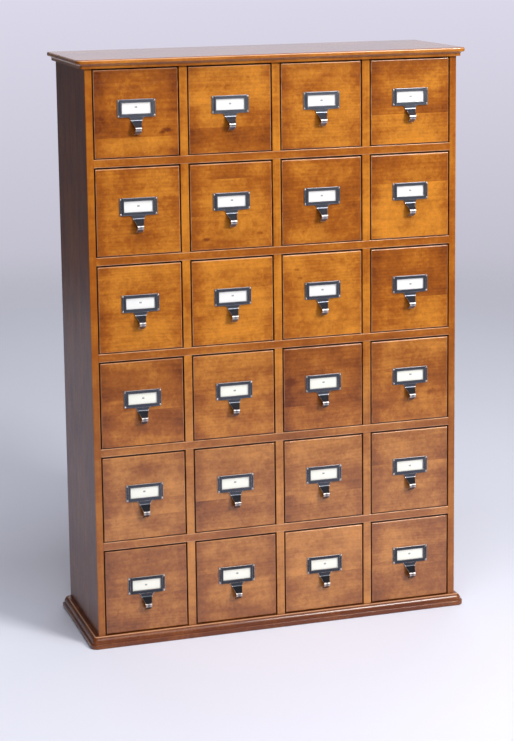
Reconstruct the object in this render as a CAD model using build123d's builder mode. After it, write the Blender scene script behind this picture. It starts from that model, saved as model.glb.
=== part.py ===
from build123d import *
import os

# A card catalogue cabinet: a tall, shallow hardwood carcass with a moulded top and base,
# holding a grid of small drawers, each with a metal label holder that ends in a finger pull.
# Millimetres, +Z up, front towards -Y. Origin: centre of the base board's underside.

# ---- drawer grid
columns = 4
rows = 6
opening_width = 148
opening_height = 150
rail = 14  # thickness of the shelves and of the dividers

# ---- carcass
side_thickness = 12
carcass_depth = 222
back_thickness = 4
back_rabbet = 6  # how far the back panel laps onto each side
dado_depth = 3
dado_stop = 12  # wood left in front of each dado, so that it doesn't show
rail_easing = 0.8
screws_per_shelf = 4
screw_radius = 1.5
screw_head_radius = 3
screw_length = 18
recess_width = 0.8
recess_span = 3.6
recess_depth = 1

# ---- top and base boards
top_thickness = 15
base_thickness = 20
side_overhang = 15
front_overhang = 12
corner_radius = 12
router_clearance = 1  # how far the cutters reach past the wood

# ---- drawers
side_gap = 2
top_gap = 2.5
bottom_gap = 1.2
running_gap = 0.3  # between a drawer's bottom and the shelf under it
front_thickness = 14
front_easing = 2
box_wall = 8
box_height = 120
box_length = 200
bottom_thickness = 3
bottom_rabbet = 3

# ---- label holder with finger pull
holder_width = 65
holder_height = 30
holder_corner = 1.5
holder_rise = 8.6  # its centre above the centre of the drawer front
flange = 1.3
rim_width = 57
rim_stand = 2.6  # height of the raised rim above the drawer front
rim_easing = 1.1
window_width = 49.5
window_height = 18.4
window_easing = 0.4
card_slot_width = 52
card_slot_depth = 1
card_slot_lap = 2  # how far the slot reaches below the window
pull_sheet = 1.6
shoulder_width = 30  # where the neck leaves the holder's bottom edge
neck_width = 18.5  # at the bend
knuckle_width = 10.5
bend_drop = 6.5  # below the holder's bottom edge, as all the drops
knuckle_drop = 19.5
tip_drop = 28
knuckle_reach = 17.2  # out from the drawer front, to where the neck and the tip would meet
tip_reach = 4.5
curl_radius = 4.5
pin_x = 30.6
pin_z = 12.6
pin_head_radius = 1.6
pin_head_height = 1.1
pin_shank_radius = 0.8
pin_length = 9

# ---- worked out
column_pitch = opening_width + rail
row_pitch = opening_height + rail
inner_width = columns * opening_width + (columns - 1) * rail
inner_height = rows * opening_height + (rows - 1) * rail
carcass_width = inner_width + 2 * side_thickness
board_width = carcass_width + 2 * side_overhang
board_depth = carcass_depth + front_overhang
back_y = board_depth / 2
front_y = back_y - carcass_depth
shelf_back_y = back_y - back_thickness
floor_z = base_thickness
ceiling_z = floor_z + inner_height
front_width = opening_width - 2 * side_gap
front_height = opening_height - top_gap - bottom_gap

both_min = (Align.CENTER, Align.MIN, Align.MIN)
os.makedirs("parts", exist_ok=True)


def save(part, label):
    """Label a finished piece and write it under its own name."""
    part.label = label
    export_step(part, f"parts/{label}.step")


def save_group(pieces, places, label):
    """Write one node of separate solids: each of the pieces at each of the places."""
    save(Compound(children=[piece.moved(place) for place in places for piece in pieces]), label)


def opening_x(column):
    """Centre of a column of openings, counted from 0 at the left."""
    return (column - (columns - 1) / 2) * column_pitch


def opening_z(row):
    """Floor of a row of openings, counted from 0 at the top."""
    return ceiling_z - row * row_pitch - opening_height


# ---- top and base boards -------------------------------------------------------------


def moulded_board(level, thickness, cutter):
    """A board with rounded front corners and a moulding along its front and two ends."""
    end_x = board_width / 2
    start_y = back_y + router_clearance
    start = Plane(origin=(-end_x, start_y, level), x_dir=(1, 0, 0), z_dir=(0, -1, 0))
    with BuildPart() as board:
        with BuildSketch(Plane.XY.offset(level)) as plan:
            Rectangle(board_width, board_depth)
            fillet(plan.vertices().group_by(Axis.Y)[0], corner_radius)
        extrude(amount=thickness)
        with BuildLine(Plane.XY.offset(level)) as edge:
            FilletPolyline(
                (-end_x, start_y),
                (-end_x, -back_y),
                (end_x, -back_y),
                (end_x, start_y),
                radius=corner_radius,
            )
        with BuildSketch(start):
            with BuildLine():
                cutter(thickness)
            make_face()
        sweep(path=edge.wire(), mode=Mode.SUBTRACT)
    return board.part


def outside(first, last):
    """Close a cutter's outline round the outside of the board's edge."""
    Polyline(first, (first[0], -router_clearance), (-router_clearance, -router_clearance),
             (-router_clearance, last[1] + router_clearance),
             (last[0], last[1] + router_clearance), last)


def base_cutter(thickness):
    """Base edge, from the floor up: rounded toe, square nose, quirk and a long ovolo."""
    toe, nose_top, nose_round, quirk, ledge, ovolo = 2, 7, 1.8, 3, 9.5, 12.5
    shoulder = nose_top + nose_round
    RadiusArc((toe, 0), (0, toe), toe)
    Line((0, toe), (0, nose_top))
    RadiusArc((0, nose_top), (nose_round, shoulder), nose_round)
    Line((nose_round, shoulder), (quirk, shoulder))
    RadiusArc((quirk, shoulder), (ledge, thickness), ovolo)
    outside((toe, 0), (ledge, thickness))


def top_cutter(thickness):
    """Top edge, from below up: upright fascia, cove, quirk and a full rounded nose."""
    fascia_in, fascia_top, cove_in, cove_top, nose_round, crown = 7.5, 3.5, 3.5, 7.5, 2.2, 2.5
    Line((fascia_in, 0), (fascia_in, fascia_top))
    RadiusArc((fascia_in, fascia_top), (cove_in, cove_top), -(cove_top - fascia_top))
    Line((cove_in, cove_top), (nose_round, cove_top))
    RadiusArc((nose_round, cove_top), (0, cove_top + nose_round), nose_round)
    Line((0, cove_top + nose_round), (0, thickness - crown))
    RadiusArc((0, thickness - crown), (crown, thickness), crown)
    outside((fascia_in, 0), (crown, thickness))


save(moulded_board(0, base_thickness, base_cutter), "base_board")
save(moulded_board(ceiling_z, top_thickness, top_cutter), "top_board")

# ---- sides ---------------------------------------------------------------------------


def cabinet_side(hand):
    """A side panel, housed for the shelves and rabbeted for the back; hand is -1 or +1."""
    outer_x = hand * carcass_width / 2
    inner_x = hand * inner_width / 2
    dado_floor_x = inner_x + hand * dado_depth
    dado_length = shelf_back_y - front_y - dado_stop
    with BuildPart() as side:
        with Locations(((outer_x + inner_x) / 2, front_y, floor_z)):
            Box(side_thickness, carcass_depth, inner_height, align=both_min)
        fillet(side.edges().filter_by(Axis.Z).group_by(Axis.Y)[0], rail_easing)
        for row in range(rows - 1):
            with Locations(((inner_x + dado_floor_x) / 2, front_y + dado_stop, opening_z(row) - rail)):
                Box(dado_depth, dado_length, rail, align=both_min, mode=Mode.SUBTRACT)
        with Locations((inner_x + hand * back_rabbet / 2, shelf_back_y, floor_z)):
            Box(back_rabbet, back_thickness, inner_height, align=both_min, mode=Mode.SUBTRACT)
    return side.part


save(cabinet_side(-1), "left_side")
save(cabinet_side(1), "right_side")

# ---- back panel and its screws -------------------------------------------------------

screw_spacing = inner_width / screws_per_shelf
shelf_middles = [opening_z(row) - rail / 2 for row in range(rows - 1)]
screw_seats = [
    Plane(origin=((index - (screws_per_shelf - 1) / 2) * screw_spacing, back_y, middle),
          x_dir=(1, 0, 0), z_dir=(0, 1, 0))
    for middle in shelf_middles
    for index in range(screws_per_shelf)
]

with BuildPart() as back_panel:
    with Locations((0, shelf_back_y, floor_z)):
        Box(inner_width + 2 * back_rabbet, back_thickness, inner_height, align=both_min)
    with Locations(*screw_seats):
        CounterSinkHole(screw_radius, screw_head_radius, depth=back_thickness, counter_sink_angle=90)
save(back_panel.part, "back_panel")

with BuildPart() as screw:
    head_height = screw_head_radius - screw_radius
    with Locations((0, 0, -head_height)):
        Cone(screw_radius, screw_head_radius, head_height,
             align=(Align.CENTER, Align.CENTER, Align.MIN))
    Cylinder(screw_radius, screw_length, align=(Align.CENTER, Align.CENTER, Align.MAX))
    Box(recess_span, recess_width, 2 * recess_depth, mode=Mode.SUBTRACT)
    Box(recess_width, recess_span, 2 * recess_depth, mode=Mode.SUBTRACT)
save_group([screw.part], [Location(seat) for seat in screw_seats], "back_panel_screws")

# ---- shelves and dividers ------------------------------------------------------------

for row in range(rows - 1):
    with BuildPart() as shelf:
        shelf_z = opening_z(row) - rail
        with Locations((0, front_y, shelf_z)):
            Box(inner_width, shelf_back_y - front_y, rail, align=both_min)
        fillet(shelf.edges().filter_by(Axis.X).group_by(Axis.Y)[0], rail_easing)
        with Locations((0, front_y + dado_stop, shelf_z)):
            Box(inner_width + 2 * dado_depth, shelf_back_y - front_y - dado_stop, rail, align=both_min)
        with Locations(*screw_seats[row * screws_per_shelf:(row + 1) * screws_per_shelf]):
            Hole(screw_radius, depth=screw_length)
    save(shelf.part, f"shelf_{row + 1}")

with BuildPart() as dividers:
    for row in range(rows):
        for column in range(columns - 1):
            with Locations((opening_x(column) + column_pitch / 2, front_y, opening_z(row))):
                Box(rail, shelf_back_y - front_y, opening_height, align=both_min)
    fillet(dividers.edges().filter_by(Axis.Z).group_by(Axis.Y)[0], rail_easing)
save(dividers.part, "dividers")

# ---- one drawer, its front's centre at the origin and its face in the XZ plane --------

front_bottom = -front_height / 2
box_bottom = front_bottom - bottom_gap + running_gap
box_outer_width = front_width
box_inner_width = box_outer_width - 2 * box_wall
pin_places = [(x, z) for x in (-pin_x, pin_x) for z in (holder_rise - pin_z, holder_rise + pin_z)]

with BuildPart() as drawer_front:
    Box(front_width, front_thickness, front_height, align=(Align.CENTER, Align.MIN, Align.CENTER))
    fillet(drawer_front.faces().sort_by(Axis.Y)[0].edges(), front_easing)
    with Locations(*[Plane(origin=(x, 0, z), z_dir=(0, -1, 0)) for x, z in pin_places]):
        Hole(pin_shank_radius, depth=pin_length)


def drawer_side(hand):
    """A side of the box, rabbeted along its lower inner edge for the bottom."""
    with BuildPart() as side:
        with Locations((hand * (box_outer_width - box_wall) / 2, front_thickness, box_bottom)):
            Box(box_wall, box_length, box_height, align=both_min)
        with Locations((hand * (box_inner_width + bottom_rabbet) / 2, front_thickness, box_bottom)):
            Box(bottom_rabbet, box_length, bottom_thickness, align=both_min, mode=Mode.SUBTRACT)
    return side.part


with BuildPart() as drawer_back:
    with Locations((0, front_thickness + box_length - box_wall, box_bottom + bottom_thickness)):
        Box(box_inner_width, box_wall, box_height - bottom_thickness, align=both_min)

with BuildPart() as drawer_bottom:
    with Locations((0, front_thickness, box_bottom)):
        Box(box_inner_width + 2 * bottom_rabbet, box_length, bottom_thickness, align=both_min)

drawer_pieces = [drawer_front.part, drawer_side(-1), drawer_side(1), drawer_back.part, drawer_bottom.part]

# ---- one label holder with its pull, in the same place ---------------------------------

holder_bottom = holder_rise - holder_height / 2
bend_z = holder_bottom - bend_drop
knuckle_z = holder_bottom - knuckle_drop
tip_z = holder_bottom - tip_drop
sheet_middle = pull_sheet / 2

with BuildPart() as pull_finger:
    # side view: the sheet lies flat below the holder, bends out and curls back under
    with BuildSketch(Plane.YZ):
        with BuildLine() as curl:
            FilletPolyline(
                (-sheet_middle, holder_bottom + holder_corner),
                (-sheet_middle, bend_z),
                (-knuckle_reach, knuckle_z),
                (-tip_reach, tip_z),
                radius=curl_radius,
            )
        trace(curl.line, line_width=pull_sheet)
    extrude(amount=shoulder_width / 2, both=True)
    # front view: the shoulders sweep in to a tapered neck and a parallel knuckle and tip
    with BuildSketch(Plane.XZ):
        with BuildLine():
            Line((0, holder_bottom + 2 * holder_corner), (shoulder_width / 2, holder_bottom + 2 * holder_corner))
            Line((shoulder_width / 2, holder_bottom + 2 * holder_corner), (shoulder_width / 2, holder_bottom))
            Spline(
                (shoulder_width / 2, holder_bottom),
                (neck_width / 2, bend_z),
                (knuckle_width / 2, knuckle_z),
                tangents=((-1, -0.1), (0, -1)),
            )
            Line((knuckle_width / 2, knuckle_z), (knuckle_width / 2, tip_z - pull_sheet))
            Line((knuckle_width / 2, tip_z - pull_sheet), (0, tip_z - pull_sheet))
            mirror(about=Plane.YZ)
        make_face()
    extrude(amount=knuckle_reach + pull_sheet, mode=Mode.INTERSECT)

with BuildPart() as pull:
    with BuildSketch(Plane.XZ):
        with Locations((0, holder_rise)):
            RectangleRounded(holder_width, holder_height, holder_corner)
    extrude(amount=flange)
    with BuildSketch(Plane.XZ):
        with Locations((0, holder_rise)):
            RectangleRounded(rim_width, holder_height, holder_corner)
    extrude(amount=rim_stand)
    fillet(pull.faces().filter_by(Axis.Y).sort_by(Axis.Y)[0].edges(), rim_easing)
    add(pull_finger.part)
    with BuildSketch(Plane.XZ):
        with Locations((0, holder_rise)):
            Rectangle(window_width, window_height)
    extrude(amount=rim_stand, mode=Mode.SUBTRACT)
    rim_face = pull.faces().filter_by(Plane.XZ).filter_by_position(Axis.Y, -rim_stand - 0.01, -rim_stand + 0.01)
    fillet(rim_face.sort_by(Axis.Z)[0].inner_wires().edges(), window_easing)
    # the card slides down behind the rim from the holder's top edge
    with Locations((0, 0, holder_rise - window_height / 2 - card_slot_lap)):
        Box(card_slot_width, card_slot_depth, holder_height,
            align=(Align.CENTER, Align.MAX, Align.MIN), mode=Mode.SUBTRACT)
    with Locations(*[Plane(origin=(x, -flange, z), z_dir=(0, -1, 0)) for x, z in pin_places]):
        Hole(pin_shank_radius, depth=flange)

with BuildPart() as pin:
    with BuildSketch():
        with BuildLine():
            dome = ThreePointArc(
                (0, -flange - pin_head_height),
                (0.7 * pin_head_radius, -flange - 0.7 * pin_head_height),
                (pin_head_radius, -flange),
            )
            Polyline(
                dome @ 1,
                (pin_shank_radius, -flange),
                (pin_shank_radius, pin_length - 1),
                (0, pin_length),
                dome @ 0,
            )
        make_face()
    revolve(axis=Axis.Y)
pins = [pin.part.moved(Location((x, 0, z))) for x, z in pin_places]

# ---- a drawer and a label holder in every opening --------------------------------------

for row in range(rows):
    for column in range(columns):
        front_z = opening_z(row) + bottom_gap + front_height / 2
        place = Location((opening_x(column), front_y, front_z))
        spot = f"r{row + 1}c{column + 1}"
        save_group(drawer_pieces, [place], f"drawer_{spot}")
        save_group([pull.part, *pins], [place], f"pull_{spot}")
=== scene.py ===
import math
import random

import bpy
from mathutils import Matrix, Vector


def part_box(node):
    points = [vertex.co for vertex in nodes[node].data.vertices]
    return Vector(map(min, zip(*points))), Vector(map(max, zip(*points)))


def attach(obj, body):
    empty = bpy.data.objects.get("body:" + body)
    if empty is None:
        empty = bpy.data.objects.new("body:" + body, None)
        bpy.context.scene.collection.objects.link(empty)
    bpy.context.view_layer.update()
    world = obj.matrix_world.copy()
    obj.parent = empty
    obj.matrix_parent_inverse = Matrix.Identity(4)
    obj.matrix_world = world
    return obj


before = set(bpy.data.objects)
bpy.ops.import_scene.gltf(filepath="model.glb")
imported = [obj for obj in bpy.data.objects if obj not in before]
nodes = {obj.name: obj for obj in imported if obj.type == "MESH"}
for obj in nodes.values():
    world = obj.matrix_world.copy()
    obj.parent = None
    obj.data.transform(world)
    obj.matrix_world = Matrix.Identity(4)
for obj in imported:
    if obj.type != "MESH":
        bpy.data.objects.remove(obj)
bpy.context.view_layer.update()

MM = 0.001
COLUMNS, ROWS = 4, 6

# Sizes of the cabinet's parts that the materials follow, in millimetres.
FRONT_THICKNESS = 14
HOLDER_HALF_HEIGHT = 15.0
RIM_HALF_WIDTH = 28.5
FLANGE_THICKNESS = 1.3

# ---- camera: from the front left and a little above ----------------------------------------

CAMERA_PLACE = Vector((-1.050, -3.300, 1.240))
CAMERA_YAW, CAMERA_PITCH, CAMERA_ROLL = -17.597, 9.458, -0.686
CAMERA_SHIFT = -0.17
LENS, SENSOR = 97.069, 36.0
FAR_CLIP = 200


def make_camera():
    """The angles are in degrees, pitch being how far it looks down, and the lens in millimetres."""
    data = bpy.data.cameras.new("camera")
    data.sensor_width = SENSOR
    data.lens = LENS
    data.shift_y = CAMERA_SHIFT
    data.clip_end = FAR_CLIP
    camera = bpy.data.objects.new("camera", data)
    bpy.context.scene.collection.objects.link(camera)
    upright = Matrix.Rotation(math.radians(90 - CAMERA_PITCH), 4, "X")
    turned = Matrix.Rotation(math.radians(CAMERA_YAW), 4, "Z")
    rolled = Matrix.Rotation(math.radians(CAMERA_ROLL), 4, "Z")
    camera.matrix_world = Matrix.Translation(CAMERA_PLACE) @ turned @ upright @ rolled
    bpy.context.scene.camera = camera


# ---- a small helper for node graphs ----------------------------------------------------------


class Graph:
    """Builds a node tree: most methods add a node and return its output socket."""

    def __init__(self, tree):
        self.tree = tree

    def add(self, kind, inputs=(), **settings):
        node = self.tree.nodes.new(kind)
        for key, value in settings.items():
            setattr(node, key, value)
        for key, value in dict(inputs).items():
            self.put(node.inputs[key], value)
        return node

    def put(self, socket, value):
        """Links a socket to another one, or sets its constant."""
        if isinstance(value, bpy.types.NodeSocket):
            self.tree.links.new(value, socket)
        else:
            socket.default_value = value

    def math(self, operation, first, second=0.0, third=0.0):
        inputs = {0: first, 1: second, 2: third}
        return self.add("ShaderNodeMath", inputs, operation=operation).outputs[0]

    def plus(self, first, second):
        return self.math("ADD", first, second)

    def minus(self, first, second):
        return self.math("SUBTRACT", first, second)

    def times(self, first, second):
        return self.math("MULTIPLY", first, second)

    def scaled_plus(self, value, scale, offset):
        return self.math("MULTIPLY_ADD", value, scale, offset)

    def centred(self, value, depth):
        """A value from 0 to 1 becomes one from minus half of depth to plus half."""
        return self.scaled_plus(value, depth, -depth / 2)

    def far_from(self, value, centre):
        """How far a value is from a centre, whichever side it is on."""
        return self.math("ABSOLUTE", self.minus(value, centre))

    def length(self, first, second):
        """The length of the diagonal of a rectangle with these two sides."""
        squares = self.plus(self.math("POWER", first, 2), self.math("POWER", second, 2))
        return self.math("SQRT", squares)

    def total(self, values):
        result = values[0]
        for value in values[1:]:
            result = self.plus(result, value)
        return result

    def largest(self, values):
        result = values[0]
        for value in values[1:]:
            result = self.math("MAXIMUM", result, value)
        return result

    def vector(self, operation, first, second=(0, 0, 0)):
        return self.add("ShaderNodeVectorMath", {0: first, 1: second}, operation=operation).outputs[0]

    def combine(self, x, y, z):
        return self.add("ShaderNodeCombineXYZ", {0: x, 1: y, 2: z}).outputs[0]

    def split(self, vector):
        return self.add("ShaderNodeSeparateXYZ", {0: vector}).outputs

    def noise(self, vector, scale, detail=2.0, roughness=0.5, distortion=0.0):
        inputs = {"Vector": vector, "Scale": scale, "Detail": detail, "Roughness": roughness,
                  "Distortion": distortion}
        return self.add("ShaderNodeTexNoise", inputs).outputs["Fac"]

    def remap(self, value, low, high, new_low=0.0, new_high=1.0, smooth=False):
        node = self.add("ShaderNodeMapRange", {0: value, 1: low, 2: high, 3: new_low, 4: new_high})
        node.interpolation_type = "SMOOTHSTEP" if smooth else "LINEAR"
        return node.outputs[0]

    def ramp(self, value, stops):
        node = self.add("ShaderNodeValToRGB", {0: value})
        elements = node.color_ramp.elements
        while len(elements) < len(stops):
            elements.new(0.5)
        for element, (place, colour) in zip(elements, stops):
            element.position = place
            element.color = (*colour, 1)
        return node.outputs[0]

    def blend(self, factor, first, second, mode="MIX"):
        node = self.add("ShaderNodeMix", data_type="RGBA", blend_type=mode)
        self.put(node.inputs[0], factor)
        for socket, value in ((node.inputs[6], first), (node.inputs[7], second)):
            self.put(socket, (*value, 1) if isinstance(value, tuple) else value)
        return node.outputs[2]

    def bump(self, height, strength, distance):
        inputs = {"Height": height, "Strength": strength, "Distance": distance}
        return self.add("ShaderNodeBump", inputs).outputs[0]

    def place_mm(self):
        """The point's place in the row frame, in millimetres; it stays with a moving piece."""
        texture = self.add("ShaderNodeTexCoord")
        return self.vector("MULTIPLY", texture.outputs["Object"], (1000, 1000, 1000))


def new_material(name):
    """A material with one Principled shader: returns the material, its graph and the shader."""
    material = bpy.data.materials.new(name)
    material.use_nodes = True
    graph = Graph(material.node_tree)
    return material, graph, material.node_tree.nodes["Principled BSDF"]


def scaled(colour, factor):
    return tuple(channel * factor for channel in colour)


def between(first, second, factor):
    """The colour that lies the given part of the way from the first to the second."""
    return tuple(a + factor * (b - a) for a, b in zip(first, second))


def box_mm(name):
    """The low and high corner of a CAD node's box, in millimetres."""
    return [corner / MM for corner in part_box(name)]


# ---- wood: its figure ------------------------------------------------------------------------

# The axes that run along the grain, across it and into the board.
GRAIN_ALONG = {"X": (0, 1, 2), "Z": (2, 0, 1)}

# The figure is laid out in millimetres.
RING_GAP = 5.5
RING_SWAY, RING_LEAN, RING_DEEP_SWAY = 60, 8, 35
PITH_SPACING, PITH_SWING, PITH_DEPTH = 330, 70, 60

# How far each layer of the figure moves the tone between its darkest and its lightest place.
RING_CONTRAST = 0.07
FIBRE_CONTRAST = 0.13
BAND_CONTRAST = 0.44
CURL_CONTRAST = 0.70
CLOUD_CONTRAST = 1.05
MIDDLE_TONE = 0.60

# Each kind of streak: stretch is small for long ones, and scale is large for thin ones.
FIBRES = {"stretch": 0.035, "scale": 0.55}
BANDS = {"stretch": 0.12, "scale": 0.045}
PORES = {"stretch": 0.11, "scale": 1.1, "detail": 1.0}
BARE_FIBRES = {"stretch": 0.03, "scale": 0.2, "detail": 2.0}

# Every piece is cut from its own place in the tree, and beyond each glue line the figure jumps to
# another one: these are the least and the most of those moves, in mm.
START_RANGE = (-2000, 2000)
ACROSS_JUMP, DEEP_JUMP, RUN_JUMP = (150, 420), (-180, 180), (300, 900)


def grain_place(graph, place, along, boards, rng):
    """A point's place along the grain, across it and into its own board, and each board's tone."""
    moves = [rng.uniform(*START_RANGE) for _ in range(3)]
    run, across, deep = [graph.plus(place[axis], move) for axis, move in zip(GRAIN_ALONG[along], moves)]
    tones = []
    for axis, line, tone in boards:
        past = graph.math("GREATER_THAN", place["XYZ".index(axis)], line)
        across = graph.scaled_plus(past, rng.uniform(*ACROSS_JUMP), across)
        deep = graph.scaled_plus(past, rng.uniform(*DEEP_JUMP), deep)
        run = graph.scaled_plus(past, rng.uniform(*RUN_JUMP), run)
        tones.append(graph.times(past, tone))
    return (run, across, deep), tones


def streaks(graph, grain, stretch, scale, detail=3.0):
    """Noise drawn out along the grain."""
    run, across, deep = grain
    drawn = graph.combine(graph.times(run, stretch), across, deep)
    return graph.noise(drawn, scale, detail, 0.6)


def growth_rings(graph, grain):
    """0 to 1 across each growth ring, round a distant pith, bent by slow noise."""
    run, across, deep = grain
    from_pith = graph.minus(graph.math("PINGPONG", across, PITH_SPACING), PITH_SPACING / 2)
    behind = graph.plus(graph.math("PINGPONG", deep, PITH_SWING), PITH_DEPTH)
    slow = graph.combine(graph.times(run, 0.16), from_pith, behind)
    sway = graph.minus(graph.noise(slow, 0.012, 1.0), 0.5)
    lean = graph.minus(graph.noise(graph.vector("ADD", slow, (311, 77, 19)), 0.03), 0.5)
    height = graph.total([from_pith, graph.times(sway, RING_SWAY), graph.times(lean, RING_LEAN)])
    depth = graph.scaled_plus(sway, RING_DEEP_SWAY, behind)
    turn = graph.math("FRACT", graph.math("DIVIDE", graph.length(height, depth), RING_GAP))
    early = graph.remap(turn, 0.0, 0.75, smooth=True)
    late = graph.remap(turn, 0.86, 1.0, 1.0, 0.0, smooth=True)
    return graph.times(early, late)


def figure(graph, grain, fibre):
    """The tone of the figure about its middle: rings, fibres, bands, curl and slow clouds."""
    run, across, deep = grain
    bands = streaks(graph, grain, **BANDS)
    curl = graph.noise(graph.combine(run, graph.times(across, 0.5), deep), 0.13, 4.0, 0.62, 0.6)
    cloud = graph.noise(graph.combine(graph.times(run, 0.6), across, deep), 0.022)
    return graph.total([graph.centred(growth_rings(graph, grain), RING_CONTRAST),
                        graph.centred(fibre, FIBRE_CONTRAST),
                        graph.centred(bands, BAND_CONTRAST),
                        graph.centred(curl, CURL_CONTRAST),
                        graph.centred(cloud, CLOUD_CONTRAST)])


def knot(graph, place, middle, size):
    """1 in the heart of a small knot on a front, falling to 0, and longer along the grain."""
    x, z = middle
    off_x = graph.minus(place[0], x)
    off_z = graph.minus(place[2], z)
    wobble = graph.noise(graph.combine(off_x, 0.0, off_z), 0.22, 3.0, 0.65)
    wobble = graph.times(graph.minus(wobble, 0.5), 1.1)
    away = graph.length(graph.math("DIVIDE", off_x, 2.2 * size), graph.math("DIVIDE", off_z, size))
    return graph.remap(graph.plus(away, wobble), 0.25, 1.25, 1.0, 0.0, smooth=True)


# ---- wood: its stain and lacquer -------------------------------------------------------------

# A stain is its light, middle and dark colour.
HONEY_STAIN = ((0.60, 0.215, 0.020), (0.37, 0.100, 0.007), (0.15, 0.028, 0.003))
# Browner, greyer colours for the lower parts: a painted reflection of the pale floor in the lacquer.
BROWN_FLOOR_REFLECTION = ((0.49, 0.192, 0.044), (0.30, 0.094, 0.019), (0.13, 0.028, 0.005))
PLY_STAIN = ((0.44, 0.28, 0.14), (0.30, 0.17, 0.08), (0.16, 0.08, 0.03))
BARE_WOOD = ((0.50, 0.34, 0.19), (0.64, 0.47, 0.29), (0.72, 0.55, 0.36))
# Painted shade in the gaps, with the stain darker on the end grain there.
GAP_SHADE_AND_STAIN = (0.060, 0.010, 0.004)
# Pale colour of painted highlights on edges, partly worn paler wood on the eased edges.
PALE_HIGHLIGHT_AND_WEAR = (0.74, 0.42, 0.24)

# The carcass is painted from the honey stain to mostly brown over this range of height, in mm, a painted
# reflection of the pale floor in the lacquer.
HONEY_HEIGHT, BROWN_HEIGHT, BROWN_SHARE = 600, 330, 0.85
# Drawer fronts turn from honey below the third row to fully brown two rows on, the same painted reflection
# of the floor.
LAST_HONEY_ROW, ROWS_TO_BROWN = 3, 2

# The width of the pale eased edge of a front, a painted highlight that is partly worn paler wood, and the
# depth over which the colour darkens into a gap, painted shade with the stain darker on the end grain, in
# mm.
RIM_WIDTH = 1.7
GAP_SHADE_RUN = 1.2
PORE_DARKNESS = 0.22
COAT_WEIGHT, COAT_ROUGHNESS, COAT_INDEX = 0.9, 0.14, 1.5
WOOD_ROUGHNESS, BARE_ROUGHER = (0.30, 0.42), 0.25


def stained(graph, tone, stain):
    """The colour of stained wood: tone runs from 0, dark, to 1, light."""
    light, middle, dark = stain
    return graph.ramp(tone, [(0.0, dark), (0.22, between(dark, middle, 0.5)), (0.45, middle),
                             (0.78, light), (1.0, scaled(light, 1.22))])


def paint_highlight_line(graph, place, colour, low, high):
    """Paints a pale highlight line between two heights, in mm, round a moulding."""
    line = graph.times(graph.remap(place[2], low, low + 0.5, 0.0, 0.7),
                       graph.remap(place[2], high - 0.3, high, 1.0, 0.0))
    return graph.blend(line, colour, PALE_HIGHLIGHT_AND_WEAR)


def paint_rim_highlight_and_wear(graph, place, place_vector, colour, low, high, strength):
    """Paints the eased edge round a front between two corners pale, unevenly: a painted highlight, partly
    worn paler wood.
    """
    reach = [graph.math("MINIMUM", graph.minus(place[axis], low[axis]), graph.minus(high[axis], place[axis]))
             for axis in (0, 2)]
    nearest = graph.math("MINIMUM", *reach)
    worn = graph.noise(place_vector, 0.05)
    rim = graph.times(graph.remap(nearest, 0.5 * RIM_WIDTH, RIM_WIDTH, 1.0, 0.0, smooth=True),
                      graph.remap(worn, 0.35, 0.6, 0.25 * strength, 0.75 * strength))
    return graph.blend(rim, colour, PALE_HIGHLIGHT_AND_WEAR)


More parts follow.
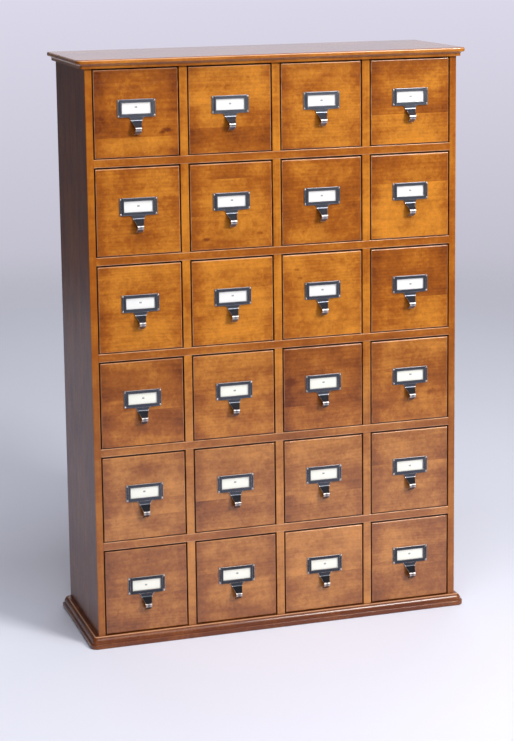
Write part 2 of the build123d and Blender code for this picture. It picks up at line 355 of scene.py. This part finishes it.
def lacquered(name, seed, along, tone_shift, boards=(), knots=(), contrast=1.0, stain=HONEY_STAIN,
              gloss=1.0, shade=None, browner_down=False, line=None, rim=None, gap_behind=None, bare=None):
    """Stained hardwood under a lacquer.

    boards lists the glue lines as (axis, place in mm, tone added beyond it), and knots the knots
    as ((x, z) in mm, size in mm, depth). shade changes the tone in a piece's own way (painted
    shade on the top board and the side panels), and browner_down turns the colour brown towards
    the floor, a painted reflection of the pale floor in the lacquer. line is a range of height
    painted pale as a highlight, and rim is the (low corner, high corner, strength) of an eased
    edge painted pale, a painted highlight that is partly worn paler. gap_behind is the Y, in mm,
    behind which the colour runs dark and unlacquered into the gap, painted shade with the stain
    darker on the end grain, and bare draws the part that was never stained.
    """
    material, graph, shader = new_material(name)
    place_vector = graph.place_mm()
    place = graph.split(place_vector)
    grain, board_tones = grain_place(graph, place, along, boards, random.Random(seed))
    fibre = streaks(graph, grain, **FIBRES)
    tone = graph.scaled_plus(figure(graph, grain, fibre), contrast, MIDDLE_TONE + tone_shift)
    tone = graph.total([tone, *board_tones])
    for middle, size, depth in knots:
        tone = graph.scaled_plus(knot(graph, place, middle, size), -depth, tone)
    if shade:
        tone = shade(graph, place, tone)
    colour = stained(graph, tone, stain)
    # Painted reflection of the pale floor: browner towards the floor.
    if browner_down:
        lower = graph.remap(place[2], BROWN_HEIGHT, HONEY_HEIGHT, BROWN_SHARE, 0.0, smooth=True)
        colour = graph.blend(lower, colour, stained(graph, tone, BROWN_FLOOR_REFLECTION))
    # Painted highlight along a line of a moulding.
    if line:
        colour = paint_highlight_line(graph, place, colour, *line)
    pores = graph.remap(streaks(graph, grain, **PORES), 0.62, 0.72, smooth=True)
    colour = graph.blend(graph.times(pores, PORE_DARKNESS), colour, tuple(stain[2]))
    # Painted highlight on the eased edge, partly worn paler.
    if rim:
        colour = paint_rim_highlight_and_wear(graph, place, place_vector, colour, *rim)
    coat = COAT_WEIGHT * gloss
    # Painted shade running into the gap, with darker stain on the end grain and no lacquer.
    if gap_behind is not None:
        inside = graph.remap(place[1], gap_behind, gap_behind + GAP_SHADE_RUN, 0.0, 0.92, smooth=True)
        colour = graph.blend(inside, colour, GAP_SHADE_AND_STAIN)
        coat = graph.scaled_plus(inside, -coat, coat)
    rough = graph.remap(fibre, 0.3, 0.7, *WOOD_ROUGHNESS)
    if bare:
        raw, raw_colour = bare(graph, place, grain)
        colour = graph.blend(raw, colour, raw_colour)
        rough = graph.scaled_plus(raw, BARE_ROUGHER, rough)
    graph.put(shader.inputs["Base Color"], colour)
    graph.put(shader.inputs["Roughness"], rough)
    graph.put(shader.inputs["Coat Weight"], coat)
    shader.inputs["Coat Roughness"].default_value = COAT_ROUGHNESS
    shader.inputs["Coat IOR"].default_value = COAT_INDEX
    shader.inputs["Specular IOR Level"].default_value = 0.3
    orange_peel = graph.noise(place_vector, 0.35)
    height = graph.scaled_plus(orange_peel, 0.5, graph.times(fibre, 0.5))
    height = graph.scaled_plus(pores, -0.7, height)
    graph.put(shader.inputs["Normal"], graph.bump(height, 0.35, 0.0003))
    return material


# ---- wood: the drawers -----------------------------------------------------------------------

# Each drawer front's own wood: its tone, its glue lines as (height, tone added above it) and its
# knots as (x, height, size in mm, depth). x and height run from 0 to 1 across the front.
DRAWER_WOOD = {
    "r1c1": (0.06, [(0.23, -0.20)], [(0.86, 0.30, 5, 0.5), (0.80, 0.27, 3, 0.35)]),
    "r1c2": (-0.10, [(0.30, 0.10), (0.55, 0.16)], [(0.72, 0.86, 1.5, 0.3)]),
    "r1c3": (0.10, [(0.52, -0.08)], []),
    "r1c4": (0.14, [(0.36, -0.24)], [(0.9, 0.6, 3, 0.2)]),
    "r2c1": (-0.02, [(0.62, 0.05)], []),
    "r2c2": (-0.02, [(0.4, 0.04), (0.82, -0.06)], [(0.19, 0.13, 3.5, 0.5), (0.85, 0.17, 3, 0.35)]),
    "r2c3": (-0.04, [(0.48, -0.07)], [(0.86, 0.42, 6, 0.2)]),
    "r2c4": (0.12, [(0.66, -0.20)], []),
    "r3c1": (0.02, [(0.72, 0.10)], [(0.5, 0.72, 2, 0.2)]),
    "r3c2": (0.05, [(0.35, 0.10), (0.66, -0.04)], []),
    "r3c3": (0.10, [(0.55, 0.0)], [(0.18, 0.82, 3, 0.35), (0.22, 0.72, 2.5, 0.3)]),
    "r3c4": (0.04, [(0.40, -0.22)], [(0.55, 0.62, 5, 0.3)]),
    "r4c1": (-0.12, [(0.42, -0.04)], []),
    "r4c2": (0.02, [(0.54, 0.10)], [(0.66, 0.52, 2, 0.25)]),
    "r4c3": (-0.16, [(0.30, -0.06), (0.72, 0.03)], [(0.1, 0.6, 7, 0.2)]),
    "r4c4": (-0.02, [(0.62, 0.02)], [(0.80, 0.34, 7, 0.30)]),
    "r5c1": (0.05, [(0.28, 0.03)], []),
    "r5c2": (-0.06, [(0.38, 0.08)], []),
    "r5c3": (-0.02, [(0.34, 0.06)], [(0.84, 0.72, 4, 0.2)]),
    "r5c4": (0.04, [(0.60, -0.04)], []),
    "r6c1": (-0.10, [(0.44, -0.03)], [(0.52, 0.86, 2, 0.2)]),
    "r6c2": (-0.05, [(0.60, 0.06)], []),
    "r6c3": (0.10, [(0.45, 0.05)], []),
    "r6c4": (-0.05, [(0.50, 0.02)], []),
}


# The stain is darker within this reach of the sides of a front, in mm, by this much tone.
SIDE_MARGIN = 2
LEFT_REACH, LEFT_DARKER = 28, 0.22
RIGHT_REACH, RIGHT_DARKER = 24, 0.15
DRAWER_SEED = 62


def box_wood(face):
    """A drawer's box, behind its stained front, is bare pale hardwood."""
    def bare(graph, place, grain):
        raw = graph.math("GREATER_THAN", place[1], face + FRONT_THICKNESS - 0.2)
        stops = zip((0.25, 0.6, 0.85), BARE_WOOD)
        return raw, graph.ramp(streaks(graph, grain, **BARE_FIBRES), list(stops))
    return bare


def darker_sides(left, right):
    """The stain is darker towards both sides of a front, and most on the left."""
    def shade(graph, place, tone):
        from_left = graph.remap(graph.minus(place[0], left), SIDE_MARGIN, LEFT_REACH, LEFT_DARKER, 0.0,
                                smooth=True)
        from_right = graph.remap(graph.minus(right, place[0]), SIDE_MARGIN, RIGHT_REACH, RIGHT_DARKER, 0.0,
                                 smooth=True)
        return graph.minus(tone, graph.plus(from_left, from_right))
    return shade


def drawer_material(row, column):
    spot = f"r{row}c{column}"
    low, high = box_mm(f"drawer_{spot}")
    tone, lines, spots = DRAWER_WOOD[spot]

    def at(x, height):
        return low.x + x * (high.x - low.x), low.z + height * (high.z - low.z)

    boards = [("Z", at(0, height)[1], step) for height, step in lines]
    knots = [(at(x, height), size, depth) for x, height, size, depth in spots]
    # Lower rows turn browner, a painted reflection of the floor, and their painted edge highlight weaker.
    browner = min(1, max(0, (row - LAST_HONEY_ROW) / ROWS_TO_BROWN))
    stain = [between(honey, brown, browner) for honey, brown in zip(HONEY_STAIN, BROWN_FLOOR_REFLECTION)]
    seed = DRAWER_SEED + row * 7 + column * 31
    return lacquered(f"drawer_{spot}_wood", seed, "X", tone, boards, knots, stain=stain,
                     shade=darker_sides(low.x, high.x), rim=(low, high, 1 - 0.6 * browner),
                     gap_behind=low.y + 0.4, bare=box_wood(low.y))


# ---- wood: the carcass -----------------------------------------------------------------------


def give(name, material):
    """Puts a material in every slot of a CAD node."""
    data = nodes[name].data
    if not data.materials:
        data.materials.append(material)
    for index in range(len(data.materials)):
        data.materials[index] = material


# Painted shade: how much lower the tone of the broad faces of the top board and the side panels is than at
# their edges.
FACE_SHADE = 0.42


def shaded_top(level):
    """Painted shade: the upper face of the top board is darker than its moulded edge."""
    def shade(graph, place, tone):
        return graph.minus(tone, graph.remap(place[2], level - 0.8, level - 0.1, 0.0, FACE_SHADE,
                                             smooth=True))
    return shade


def shaded_behind(front):
    """Painted shade: the side panels are darker behind their front edges."""
    def shade(graph, place, tone):
        return graph.minus(tone, graph.remap(place[1], front + 1, front + 4, 0.0, FACE_SHADE,
                                             smooth=True))
    return shade


def paint_carcass():
    front = box_mm("shelf_1")[0].y
    gap = front + 1.4
    top = box_mm("top_board")[1].z
    ledge = box_mm("base_board")[1].z
    # The top board: painted shade on its upper face and a painted highlight line on its nose.
    give("top_board", lacquered("top_board_wood", 31, "X", -0.04, contrast=0.7, shade=shaded_top(top),
                                line=(top - 2.4, top - 0.7)))
    # The base's low tone is painted shade, and its ledge gets a painted highlight line.
    give("base_board", lacquered("base_board_wood", 34, "X", -0.56, contrast=0.9, gloss=0.5,
                                 browner_down=True, line=(ledge - 1.6, ledge - 0.05)))
    side_boards = [("Y", -30, 0.05), ("Y", 48, -0.06)]
    # The side panels get painted shade behind their front edges.
    for name, seed in (("left_side", 51), ("right_side", 54)):
        give(name, lacquered(f"{name}_wood", seed, "Z", -0.12, side_boards, contrast=0.6, gloss=0.3,
                             shade=shaded_behind(front), browner_down=True))
    # Shelves get a painted highlight on their eased front edges, partly worn paler, and shelves and dividers
    # get painted shade into the gaps.
    for row in range(1, ROWS):
        name = f"shelf_{row}"
        low, high = box_mm(name)
        give(name, lacquered(f"{name}_wood", 40 + row, "X", -0.12, contrast=0.75, browner_down=True,
                             rim=(low, high, 0.8), gap_behind=gap))
    divider_boards = [("X", -81, 0.05), ("X", 81, -0.03)]
    give("dividers", lacquered("divider_wood", 60, "Z", 0.04, divider_boards, contrast=0.9,
                               browner_down=True, gap_behind=gap))


def paint_back():
    give("back_panel", lacquered("back_plywood", 300, "Z", 0.06, contrast=0.45, stain=PLY_STAIN, gloss=0.2))
    give("back_panel_screws", screw_steel())


# ---- metal -----------------------------------------------------------------------------------

PEWTER_DARK, PEWTER_LIGHT = (0.105, 0.118, 0.15), (0.19, 0.205, 0.245)
PEWTER_NECK_SHADE = (0.075, 0.080, 0.10)
WORN_AND_HIGHLIGHT_METAL = (0.86, 0.76, 0.71)
# The pewter is painted lightest on the top row and darker by a step with each row below: painted shade on
# the lower pulls.
TOP_ROW_LEVEL, ROW_SHADE_STEP = 1.75, 0.27
ZINC_DARK, ZINC_LIGHT = (0.48, 0.42, 0.26), (0.62, 0.57, 0.44)
PEWTER_ROUGHNESS, ZINC_ROUGHNESS = (0.30, 0.44), (0.28, 0.42)
# Edges are painted bright over this radius, in metres: partly wear, partly painted highlight.
WEAR_AND_HIGHLIGHT_RADIUS = 0.0011
# How far below the holder the painted shade on the neck of the pull starts and is darkest, in mm.
NECK_START, NECK_FULL = 6, 8
# How far in front of the drawer the neck ends and the knuckle starts, in mm, and their blur.
NECK_REACH, KNUCKLE_REACH, REACH_BLUR = 13.0, 14.0, 0.6


def worn_and_highlit_metal(graph, place_vector, place, centre, face, rows_down):
    """1 where a holder is painted bright: painted highlights on its pins, the top of its rim and the knuckle
    of its pull, and on its edges partly real wear and partly painted highlight.
    """
    bevel = graph.add("ShaderNodeBevel", {"Radius": WEAR_AND_HIGHLIGHT_RADIUS}, samples=6)
    normal = graph.add("ShaderNodeNewGeometry").outputs["Normal"]
    facing = graph.add("ShaderNodeVectorMath", {0: bevel.outputs[0], 1: normal}, operation="DOT_PRODUCT")
    edge = graph.remap(facing.outputs["Value"], 0.99, 0.88)
    patch = graph.noise(graph.vector("ADD", place_vector, (0, 0, 300 * rows_down)), 0.16, 4.0, 0.6)
    off_x = graph.far_from(place[0], centre.x)
    # Painted highlights: the pins, the upward faces near the top of the rim, and the knuckle.
    pins = graph.times(graph.math("GREATER_THAN", off_x, RIM_HALF_WIDTH + 0.1),
                       graph.math("LESS_THAN", place[1], face - FLANGE_THICKNESS - 0.1))
    top = graph.times(graph.math("GREATER_THAN", graph.split(normal)[2], 0.55),
                      graph.math("GREATER_THAN", place[2], centre.z + HOLDER_HALF_HEIGHT - 1.2))
    bend = face - KNUCKLE_REACH
    knuckle = graph.times(graph.remap(place[1], bend + REACH_BLUR, bend - REACH_BLUR, 0.0, 0.6, smooth=True),
                          graph.remap(off_x, 1.2, 3.2, 0.35, 1.0, smooth=True))
    return graph.largest([graph.times(edge, graph.remap(patch, 0.25, 0.55)),
                          graph.times(pins, 0.9), top, knuckle])


def antique_metal(name, centre, face, rows_down):
    """Dark pewter with bright metal where hands and polishing have worn its edges, painted highlights on its
    pins, rim and knuckle, and painted shade on the neck and lower rows.

    centre is the middle of the label holder, face the Y of the drawer front, both in mm, and
    rows_down is 0 on the top row.
    """
    material, graph, shader = new_material(name)
    place_vector = graph.place_mm()
    place = graph.split(place_vector)
    grime = graph.noise(place_vector, 0.9, 3.0, 0.6)
    # Painted shade: darker pewter on each lower row.
    level = TOP_ROW_LEVEL - ROW_SHADE_STEP * rows_down
    dark = graph.blend(graph.remap(grime, 0.3, 0.7), scaled(PEWTER_DARK, level), scaled(PEWTER_LIGHT, level))
    foot = centre.z - HOLDER_HALF_HEIGHT
    reach = face - NECK_REACH
    # Painted shade on the neck of the pull.
    neck = graph.times(graph.remap(place[2], foot - NECK_START, foot - NECK_FULL, 0.0, 0.45),
                       graph.remap(place[1], reach - REACH_BLUR, reach + REACH_BLUR))
    dark = graph.blend(neck, dark, PEWTER_NECK_SHADE)
    bright = worn_and_highlit_metal(graph, place_vector, place, centre, face, rows_down)
    graph.put(shader.inputs["Base Color"], graph.blend(bright, dark, WORN_AND_HIGHLIGHT_METAL))
    shader.inputs["Metallic"].default_value = 1.0
    graph.put(shader.inputs["Roughness"], graph.remap(grime, 0.3, 0.7, *PEWTER_ROUGHNESS))
    graph.put(shader.inputs["Normal"], graph.bump(grime, 0.25, 0.0002))
    return material


def screw_steel():
    """Zinc-plated steel, slightly yellow."""
    material, graph, shader = new_material("screw_steel")
    cloud = graph.noise(graph.place_mm(), 0.6, 4.0, 0.6)
    graph.put(shader.inputs["Base Color"], graph.blend(graph.remap(cloud, 0.3, 0.7), ZINC_DARK, ZINC_LIGHT))
    shader.inputs["Metallic"].default_value = 1.0
    graph.put(shader.inputs["Roughness"], graph.remap(cloud, 0.3, 0.7, *ZINC_ROUGHNESS))
    graph.put(shader.inputs["Normal"], graph.bump(cloud, 0.2, 0.0002))
    return material


# ---- paper labels ----------------------------------------------------------------------------

LABEL_WIDTH, LABEL_HEIGHT, LABEL_THICK = 51.0 * MM, 25.0 * MM, 0.3 * MM
LABEL_LIFT, LABEL_BOW = 0.1 * MM, 0.5 * MM
# The label's lower edge is this far below the middle of the holder.
LABEL_FOOT = 11.1 * MM
LABEL_CELLS = 16
WHITE_PAPER, CREAM_PAPER = (0.94, 0.94, 0.92), (0.95, 0.95, 0.86)
WHITE_ROWS = 3
INK = (0.12, 0.12, 0.15)
STROKE_PLACES = (-1.4, 0.0, 1.4)
LABEL_SEED = 495


def label_paper(name, rows_down, seed):
    """White card, creamier on the lower rows, with a small grey mark of three strokes, in mm."""
    material, graph, shader = new_material(name)
    rng = random.Random(seed)
    width, height, foot = [size / MM for size in (LABEL_WIDTH, LABEL_HEIGHT, LABEL_FOOT)]
    generated = graph.split(graph.add("ShaderNodeTexCoord").outputs["Generated"])
    x = graph.scaled_plus(generated[0], width, -width / 2 + rng.uniform(-1, 1))
    z = graph.scaled_plus(generated[2], height, -foot - rng.uniform(-0.6, 1.6))
    strokes = []
    for stroke_place in STROKE_PLACES:
        wide = graph.remap(graph.far_from(x, stroke_place), 0.45, 0.75, 1.0, 0.0)
        tall = graph.remap(graph.math("ABSOLUTE", z), rng.uniform(0.6, 1.3), 1.7, 1.0, 0.0)
        strokes.append(graph.times(wide, tall))
    fibres = graph.noise(graph.place_mm(), 0.8, 5.0, 0.65)
    toned = CREAM_PAPER if rows_down >= WHITE_ROWS else WHITE_PAPER
    paper = graph.blend(graph.remap(fibres, 0.3, 0.7), scaled(toned, 0.95), toned)
    graph.put(shader.inputs["Base Color"], graph.blend(graph.times(graph.largest(strokes), 0.8), paper, INK))
    shader.inputs["Roughness"].default_value = 0.75
    graph.put(shader.inputs["Normal"], graph.bump(fibres, 0.2, 0.0001))
    return material


def bowed_card(centre_x, foot, face):
    """Corners and faces of a closed thin card, bowed forward from the drawer's face."""
    verts = []
    for back in (0.0, LABEL_THICK):
        for up in (0, 1):
            for cell in range(LABEL_CELLS + 1):
                across = 2 * cell / LABEL_CELLS - 1
                bow = LABEL_LIFT + LABEL_BOW * (1 - across ** 2) + LABEL_THICK - back
                verts.append((centre_x + across * LABEL_WIDTH / 2, face - bow, foot + up * LABEL_HEIGHT))
    line = LABEL_CELLS + 1
    faces = []
    for a in range(LABEL_CELLS):
        b = a + 1
        faces.append((a, b, b + line, a + line))
        faces.append((a + 2 * line, a + 3 * line, b + 3 * line, b + 2 * line))
        faces.append((a, a + 2 * line, b + 2 * line, b))
        faces.append((a + line, b + line, b + 3 * line, a + 3 * line))
    end = LABEL_CELLS
    faces.append((0, line, 3 * line, 2 * line))
    faces.append((end, end + 2 * line, end + 3 * line, end + line))
    return verts, faces


def add_label(spot, material):
    """A card in one holder's slot, riding on its drawer."""
    low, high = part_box(f"pull_{spot}")
    foot = high.z - HOLDER_HALF_HEIGHT * MM - LABEL_FOOT
    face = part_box(f"drawer_{spot}")[0].y
    verts, faces = bowed_card((low.x + high.x) / 2, foot, face)
    data = bpy.data.meshes.new(f"label_{spot}")
    data.from_pydata(verts, [], faces)
    data.materials.append(material)
    label = bpy.data.objects.new(f"label_{spot}", data)
    bpy.context.scene.collection.objects.link(label)
    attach(label, f"drawer_{spot}_body")


def furnish_drawer(row, column):
    """Gives a drawer its wood, its holder's metal and its label. Rows and columns count from 1."""
    spot = f"r{row}c{column}"
    give(f"drawer_{spot}", drawer_material(row, column))
    low, high = box_mm(f"pull_{spot}")
    centre = Vector(((low.x + high.x) / 2, 0, high.z - HOLDER_HALF_HEIGHT))
    face = box_mm(f"drawer_{spot}")[0].y
    give(f"pull_{spot}", antique_metal(f"pull_{spot}_metal", centre, face, row - 1))
    add_label(spot, label_paper(f"label_{spot}_paper", row - 1, LABEL_SEED + row * 4 + column))


# ---- stage -----------------------------------------------------------------------------------

FLOOR_RADIUS = 3.2
FLOOR_CENTRE = (0, 0.9, 0)
PAPER = (0.80, 0.81, 0.90)


def make_floor():
    """A round sheet of pale paper whose rim fades into the background."""
    bpy.ops.mesh.primitive_circle_add(vertices=96, radius=FLOOR_RADIUS, fill_type="NGON",
                                      location=FLOOR_CENTRE)
    floor = bpy.context.object
    floor.name = "floor"
    material, graph, shader = new_material("floor_paper")
    shader.inputs["Base Color"].default_value = (*PAPER, 1)
    shader.inputs["Roughness"].default_value = 0.7
    shader.inputs["Specular IOR Level"].default_value = 0.2
    place = graph.split(graph.add("ShaderNodeTexCoord").outputs["Object"])
    from_centre = graph.length(place[0], place[1])
    fade = graph.remap(from_centre, FLOOR_RADIUS * 0.45, FLOOR_RADIUS * 0.99, 1.0, 0.0, smooth=True)
    graph.put(shader.inputs["Alpha"], fade)
    floor.data.materials.append(material)


# Each light: its place, the point it faces, its two sides in metres, its power in watts, its
# colour, and whether the lacquer and the metal mirror it.
LIGHTS = {
    "key": ((1.7, -3.0, 2.7), (0, 0, 0.5), (0.9, 0.9), 115, (1, 0.97, 0.93), True),
    "fill": ((-0.3, -3.9, 3.5), (0, 0, 0.5), (2.4, 1.0), 40, (0.95, 0.97, 1.0), True),
    "overhead": ((0.1, -1.4, 3.6), (0.1, -1.1, 0), (3.0, 1.6), 85, (0.90, 0.93, 1.0), False),
    "back": ((0.9, 3.2, 3.2), (0.3, 1.6, 0), (3.6, 1.6), 38, (0.93, 0.94, 1.0), False),
}


def add_light(name, place, aim, size, power, colour, mirrored):
    data = bpy.data.lights.new(name, "AREA")
    data.shape = "RECTANGLE"
    data.size, data.size_y = size
    data.energy = power
    data.color = colour
    light = bpy.data.objects.new(name, data)
    bpy.context.scene.collection.objects.link(light)
    light.location = place
    light.visible_glossy = mirrored
    light.rotation_mode = "QUATERNION"
    light.rotation_quaternion = (Vector(aim) - Vector(place)).to_track_quat("-Z", "Y")


SKY = (0.88, 0.87, 0.97)
SKY_IN_FRONT, SKY_BEHIND, SKY_BEHIND_LEFT, SKY_OVERHEAD = 0.04, 0.78, 0.06, 0.12
# The wall the camera sees: painted shade below, lighter above.
WALL_SHADE_BELOW, WALL_ABOVE = (0.50, 0.49, 0.57), (0.73, 0.71, 0.84)


def make_world():
    """A room that is dark in front and bright behind on the right; the camera sees a wall painted darker
    towards its foot, a painted shade of the floor behind the cabinet.
    """
    world = bpy.data.worlds.new("studio")
    bpy.context.scene.world = world
    world.use_nodes = True
    graph = Graph(world.node_tree)
    background = world.node_tree.nodes["Background"]
    direction = graph.split(graph.add("ShaderNodeTexCoord").outputs["Generated"])
    behind = graph.times(graph.remap(direction[1], 0.0, 0.7, 0.0, SKY_BEHIND, smooth=True),
                         graph.remap(direction[0], -0.25, 0.15, SKY_BEHIND_LEFT, 1.0, smooth=True))
    low = graph.remap(direction[2], 0.3, 0.75, 1.0, SKY_OVERHEAD, smooth=True)
    level = graph.scaled_plus(behind, low, SKY_IN_FRONT)
    sky = graph.blend(1.0, SKY, graph.combine(level, level, level), "MULTIPLY")
    wall = graph.ramp(graph.remap(direction[2], -0.20, -0.03), [(0.0, WALL_SHADE_BELOW), (1.0, WALL_ABOVE)])
    seen = graph.add("ShaderNodeLightPath").outputs["Is Camera Ray"]
    graph.put(background.inputs["Color"], graph.blend(seen, sky, wall))
    background.inputs["Strength"].default_value = 1.0


def make_stage():
    make_floor()
    make_world()
    for name, settings in LIGHTS.items():
        add_light(name, *settings)
    view = bpy.context.scene.view_settings
    view.view_transform = "Standard"
    view.look = "None"


make_camera()
paint_carcass()
paint_back()
for row in range(1, ROWS + 1):
    for column in range(1, COLUMNS + 1):
        furnish_drawer(row, column)
make_stage()
